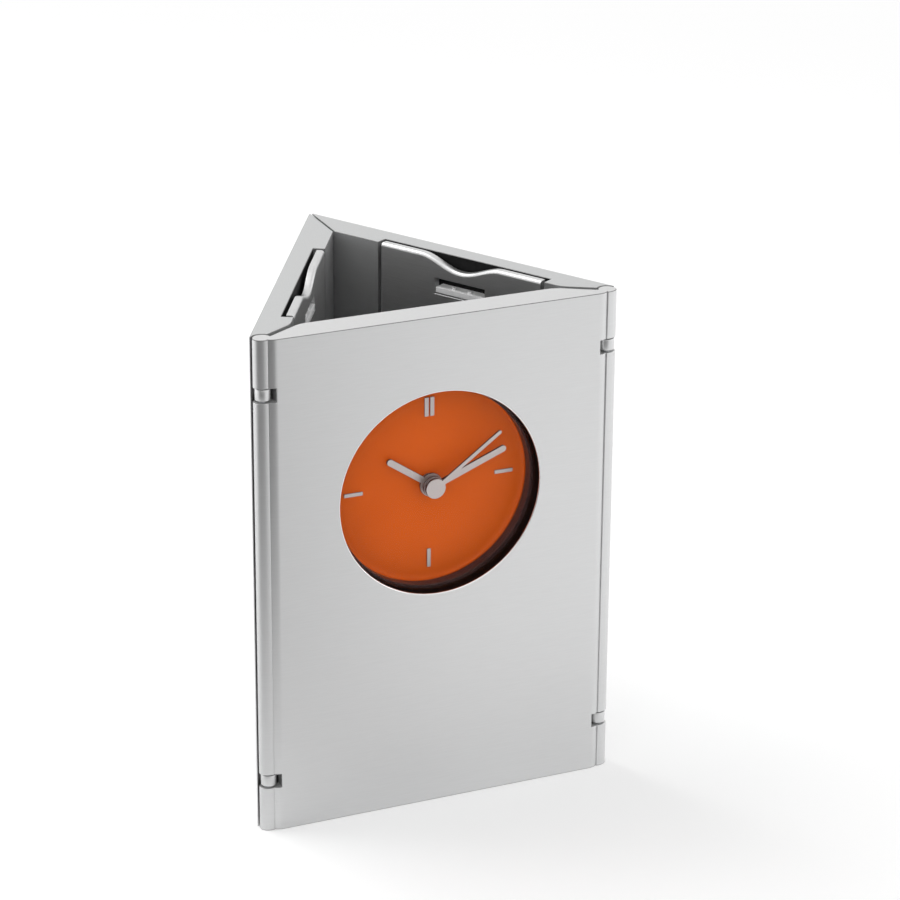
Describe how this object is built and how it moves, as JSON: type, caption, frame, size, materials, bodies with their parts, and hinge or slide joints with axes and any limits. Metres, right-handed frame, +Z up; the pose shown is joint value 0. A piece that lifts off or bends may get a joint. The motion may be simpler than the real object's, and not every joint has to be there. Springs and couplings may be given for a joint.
{
  "type": "pen holder clock",
  "caption": "Three-sided folding pen cup with a round analogue clock in its front panel; the side panels hold photographs and fold out flat.",
  "frame": {"origin": "middle of the closed cup's bounding box, on the surface it stands on", "axes": "+Z up, the clock's face towards -Y, +X to the right as seen from the front"},
  "size_m": [0.0738, 0.066, 0.1],
  "materials": {
    "satin_silver": "satin, fine horizontal grain",
    "grey_plastic": "matt",
    "steel": "polished",
    "clear": "clear and glossy",
    "brown": "glossy",
    "orange": "satin gloss",
    "hand_silver": "satin",
    "black_plastic": "satin",
    "white_plastic": "matt",
    "brass": "polished",
    "copper": "enamelled wire",
    "green_board": "matt"
  },
  "bodies": {
    "clock_panel": {"front_shell": "satin_silver", "back_cover": "grey_plastic", "cover_screw_1": "steel", "cover_screw_2": "steel", "cover_screw_3": "steel", "cover_screw_4": "steel", "floor_plate": "grey_plastic", "hinge_pin_left_bottom": "steel", "hinge_pin_left_top": "steel", "hinge_pin_right_bottom": "steel", "hinge_pin_right_top": "steel", "crystal": "clear", "dial_ring": "brown", "dial": "orange", "mark_3": "hand_silver", "mark_6": "hand_silver", "mark_9": "hand_silver", "mark_12_left": "hand_silver", "mark_12_right": "hand_silver", "clock_case": "black_plastic", "back_cap": "black_plastic", "movement_plate": "white_plastic", "rear_plate": "white_plastic", "stator": "steel", "coil": "copper", "circuit_board": "green_board", "quartz_can": "steel", "battery": "steel", "contact_minus": "brass", "contact_plus": "brass"},
    "left_panel": {"left_frame": "satin_silver", "left_pane": "clear", "left_backing": "satin_silver", "left_magnet_bottom": "steel", "left_magnet_top": "steel"},
    "right_panel": {"right_frame": "satin_silver", "right_pane": "clear", "right_backing": "satin_silver", "right_magnet_bottom": "steel", "right_magnet_top": "steel"},
    "second_hand": {"second_hand": "hand_silver", "seconds_wheel": "brass"},
    "third_wheel": {"third_wheel": "white_plastic"},
    "minute_hand": {"minute_hand": "hand_silver", "minute_wheel": "brass"},
    "motion_wheel": {"motion_wheel": "white_plastic"},
    "hour_hand": {"hour_hand": "hand_silver", "hour_wheel": "white_plastic"},
    "intermediate_wheel": {"intermediate_wheel": "white_plastic"},
    "rotor": {"rotor": "steel"},
    "setting_knob": {"set_knob": "black_plastic"},
    "battery_hatch": {"battery_hatch": "black_plastic"}
  },
  "joints": [
    {"name": "left_panel_hinge", "type": "hinge", "parent": "clock_panel", "child": "left_panel", "pos_m": [-0.03485, -0.03119, 0.05], "axis": [0, 0, 1], "range_deg": [0, 120]},
    {"name": "right_panel_hinge", "type": "hinge", "parent": "clock_panel", "child": "right_panel", "pos_m": [0.03485, -0.03119, 0.05], "axis": [0, 0, -1], "range_deg": [0, 120]},
    {"name": "second_hand_spin", "type": "hinge", "parent": "clock_panel", "child": "second_hand", "pos_m": [0, -0.03304, 0.0645], "axis": [0, 1, 0], "continuous": true},
    {"name": "third_wheel_spin", "type": "hinge", "parent": "clock_panel", "child": "third_wheel", "pos_m": [0, -0.03304, 0.07062], "axis": [0, 1, 0], "continuous": true},
    {"name": "minute_hand_spin", "type": "hinge", "parent": "clock_panel", "child": "minute_hand", "pos_m": [0, -0.03304, 0.0645], "axis": [0, 1, 0], "continuous": true},
    {"name": "motion_wheel_spin", "type": "hinge", "parent": "clock_panel", "child": "motion_wheel", "pos_m": [-0.0048, -0.03304, 0.0645], "axis": [0, 1, 0], "continuous": true},
    {"name": "hour_hand_spin", "type": "hinge", "parent": "clock_panel", "child": "hour_hand", "pos_m": [0, -0.03304, 0.0645], "axis": [0, 1, 0], "continuous": true},
    {"name": "intermediate_wheel_spin", "type": "hinge", "parent": "clock_panel", "child": "intermediate_wheel", "pos_m": [0, -0.03304, 0.06002], "axis": [0, 1, 0], "continuous": true},
    {"name": "rotor_spin", "type": "hinge", "parent": "clock_panel", "child": "rotor", "pos_m": [0, -0.03304, 0.05642], "axis": [0, 1, 0], "continuous": true},
    {"name": "setting_knob_spin", "type": "hinge", "parent": "clock_panel", "child": "setting_knob", "pos_m": [-0.0096, -0.03304, 0.0645], "axis": [0, 1, 0], "continuous": true},
    {"name": "battery_hatch_slide", "type": "slide", "parent": "clock_panel", "child": "battery_hatch", "axis": [0, 1, 0], "range_m": [0, 0.006]}
  ],
  "couplings": [
    {"joint": "third_wheel_spin", "follows": "second_hand_spin", "ratio": -0.13333},
    {"joint": "minute_hand_spin", "follows": "second_hand_spin", "ratio": 0.016667},
    {"joint": "motion_wheel_spin", "follows": "second_hand_spin", "ratio": -0.0055556},
    {"joint": "hour_hand_spin", "follows": "second_hand_spin", "ratio": 0.0013889},
    {"joint": "setting_knob_spin", "follows": "second_hand_spin", "ratio": 0.016667},
    {"joint": "intermediate_wheel_spin", "follows": "second_hand_spin", "ratio": -6},
    {"joint": "rotor_spin", "follows": "second_hand_spin", "ratio": 30}
  ]
}
